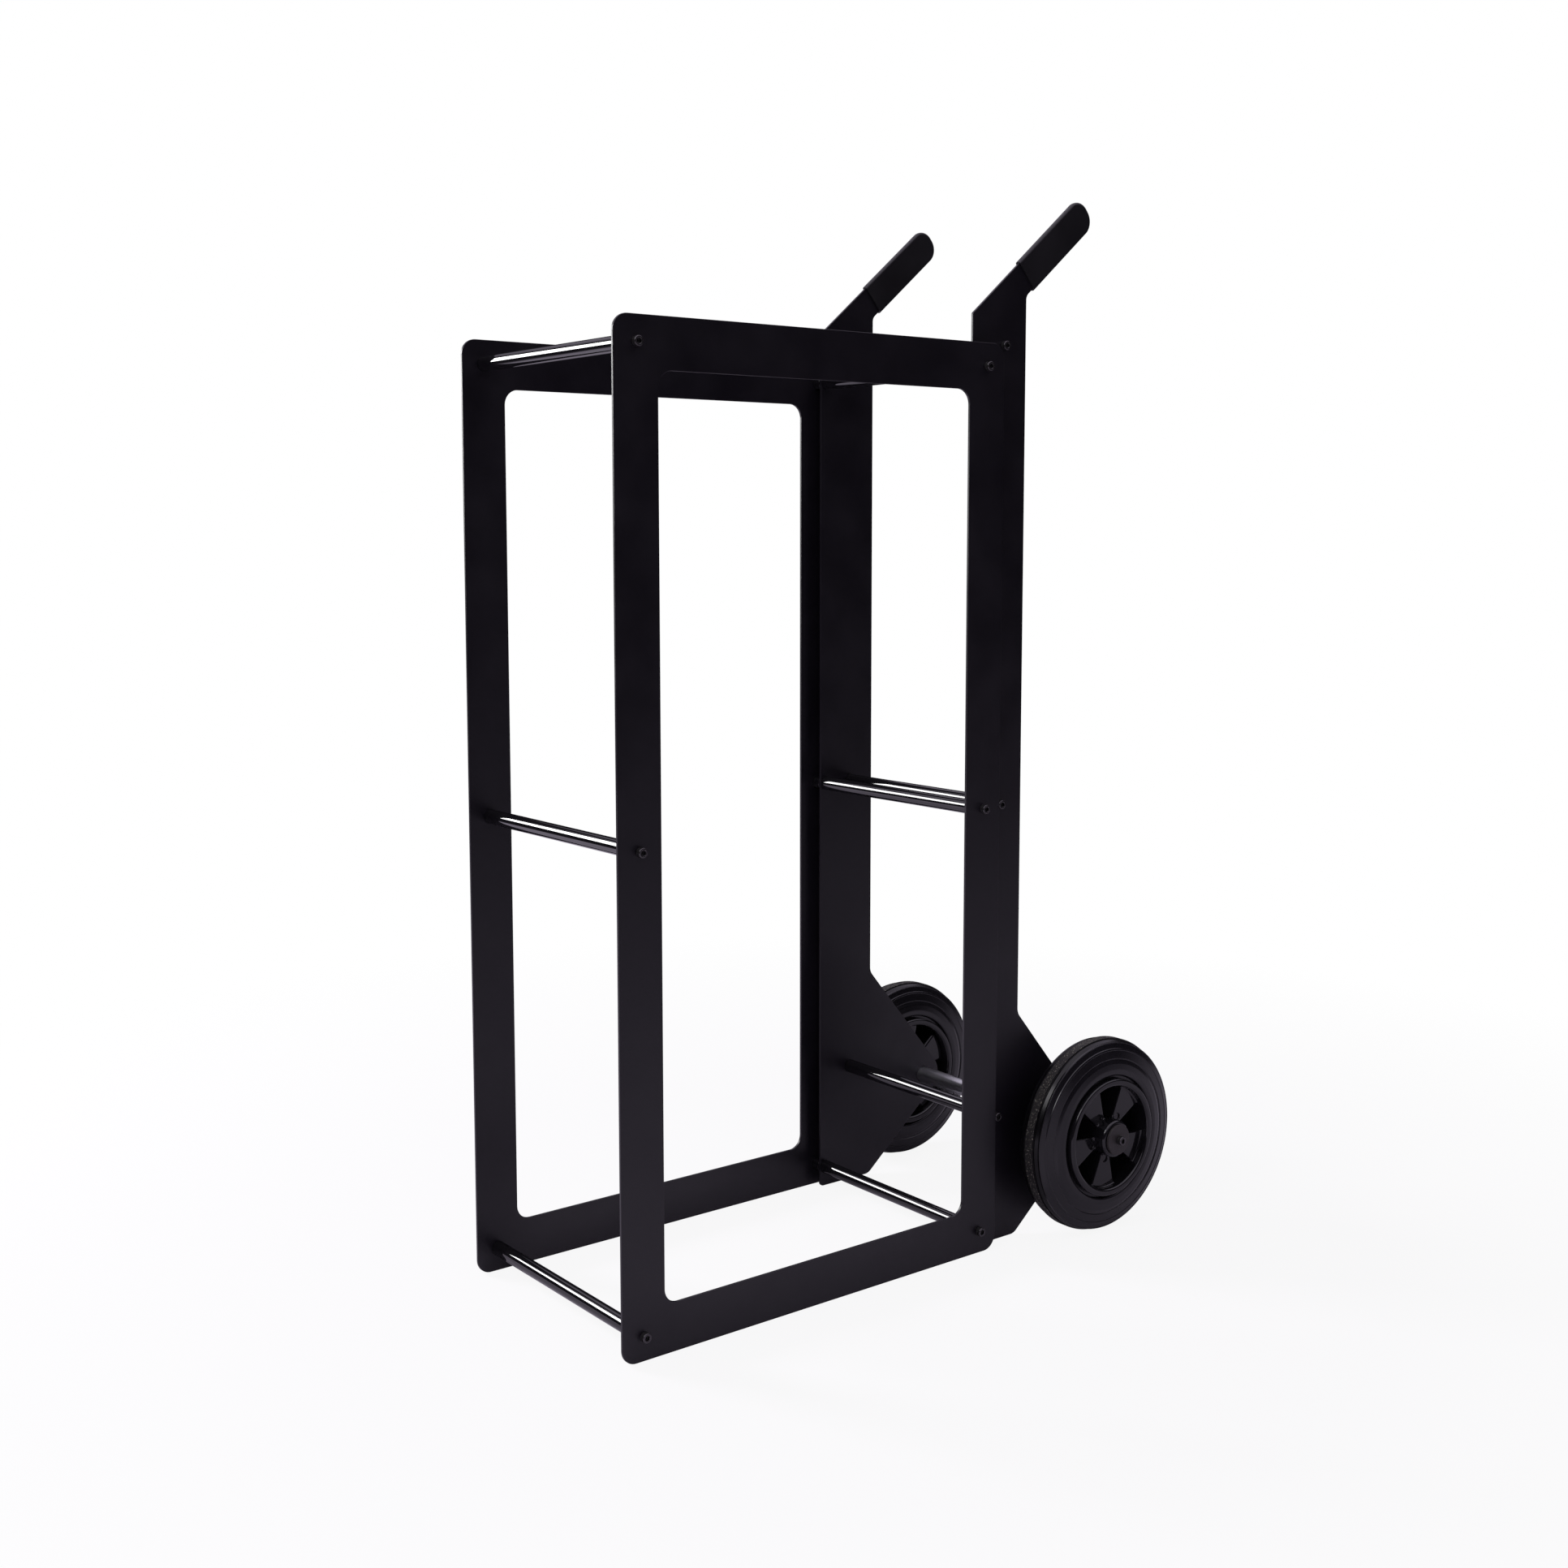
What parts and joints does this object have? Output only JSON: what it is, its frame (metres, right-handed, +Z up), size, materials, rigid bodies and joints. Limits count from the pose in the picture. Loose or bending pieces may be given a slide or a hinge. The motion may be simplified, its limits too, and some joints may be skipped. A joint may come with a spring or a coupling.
{
  "type": "log trolley",
  "caption": "Upright two-wheeled log trolley: open steel side frames joined by round rods, with slanted hand grips above and solid-tyred wheels behind.",
  "frame": {"origin": "on the ground, under the middle of the overall box", "axes": "+Z up, +Y from the open front towards the wheels, +X to the right as seen from the front"},
  "size_m": [0.4162, 0.749, 1.1628],
  "materials": {
    "powder_coat": "satin black powder coat with a fine grain",
    "gloss_black": "high gloss black",
    "black_screw": "black oxide, lightly oiled",
    "black_washer": "matt dark brown-grey",
    "zinc_steel": "bright zinc plate",
    "grip_vinyl": "satin dipped vinyl",
    "tyre_rubber": "matt moulded rubber",
    "rim_plastic": "semi-gloss moulded black",
    "bush_nylon": "natural nylon"
  },
  "bodies": {
    "chassis": {"side_frame_right": "powder_coat", "side_frame_left": "powder_coat", "handle_plate_right": "powder_coat", "handle_plate_left": "powder_coat", "grip_right": "grip_vinyl", "grip_left": "grip_vinyl", "rod_front_bottom": "gloss_black", "rod_front_middle": "gloss_black", "rod_front_top": "gloss_black", "rod_back_bottom": "gloss_black", "rod_back_middle": "gloss_black", "rod_back_top": "gloss_black", "rod_handle_bottom": "gloss_black", "rod_handle_middle": "gloss_black", "rod_handle_top": "gloss_black", "spacer_back_bottom_right": "gloss_black", "spacer_back_bottom_left": "gloss_black", "spacer_back_middle_right": "gloss_black", "spacer_back_middle_left": "gloss_black", "spacer_back_top_right": "gloss_black", "spacer_back_top_left": "gloss_black", "screw_front_bottom_right": "black_screw", "screw_front_bottom_left": "black_screw", "screw_front_middle_right": "black_screw", "screw_front_middle_left": "black_screw", "screw_front_top_right": "black_screw", "screw_front_top_left": "black_screw", "screw_back_bottom_right": "black_screw", "screw_back_bottom_left": "black_screw", "screw_back_middle_right": "black_screw", "screw_back_middle_left": "black_screw", "screw_back_top_right": "black_screw", "screw_back_top_left": "black_screw", "screw_handle_bottom_right": "black_screw", "screw_handle_bottom_left": "black_screw", "screw_handle_middle_right": "black_screw", "screw_handle_middle_left": "black_screw", "screw_handle_top_right": "black_screw", "screw_handle_top_left": "black_screw", "axle": "zinc_steel", "axle_spacer_right": "zinc_steel", "axle_spacer_left": "zinc_steel", "axle_washer_right": "black_washer", "axle_washer_left": "black_washer", "axle_screw_right": "black_screw", "axle_screw_left": "black_screw"},
    "wheel_right": {"tyre_right": "tyre_rubber", "rim_right": "rim_plastic", "wheel_bush_right": "bush_nylon"},
    "wheel_left": {"tyre_left": "tyre_rubber", "rim_left": "rim_plastic", "wheel_bush_left": "bush_nylon"}
  },
  "joints": [
    {"name": "wheel_right_spin", "type": "hinge", "parent": "chassis", "child": "wheel_right", "pos_m": [0.1673, 0.2635, 0.1115], "axis": [1, 0, 0], "continuous": true},
    {"name": "wheel_left_spin", "type": "hinge", "parent": "chassis", "child": "wheel_left", "pos_m": [-0.1673, 0.2635, 0.1115], "axis": [1, 0, 0], "continuous": true}
  ]
}
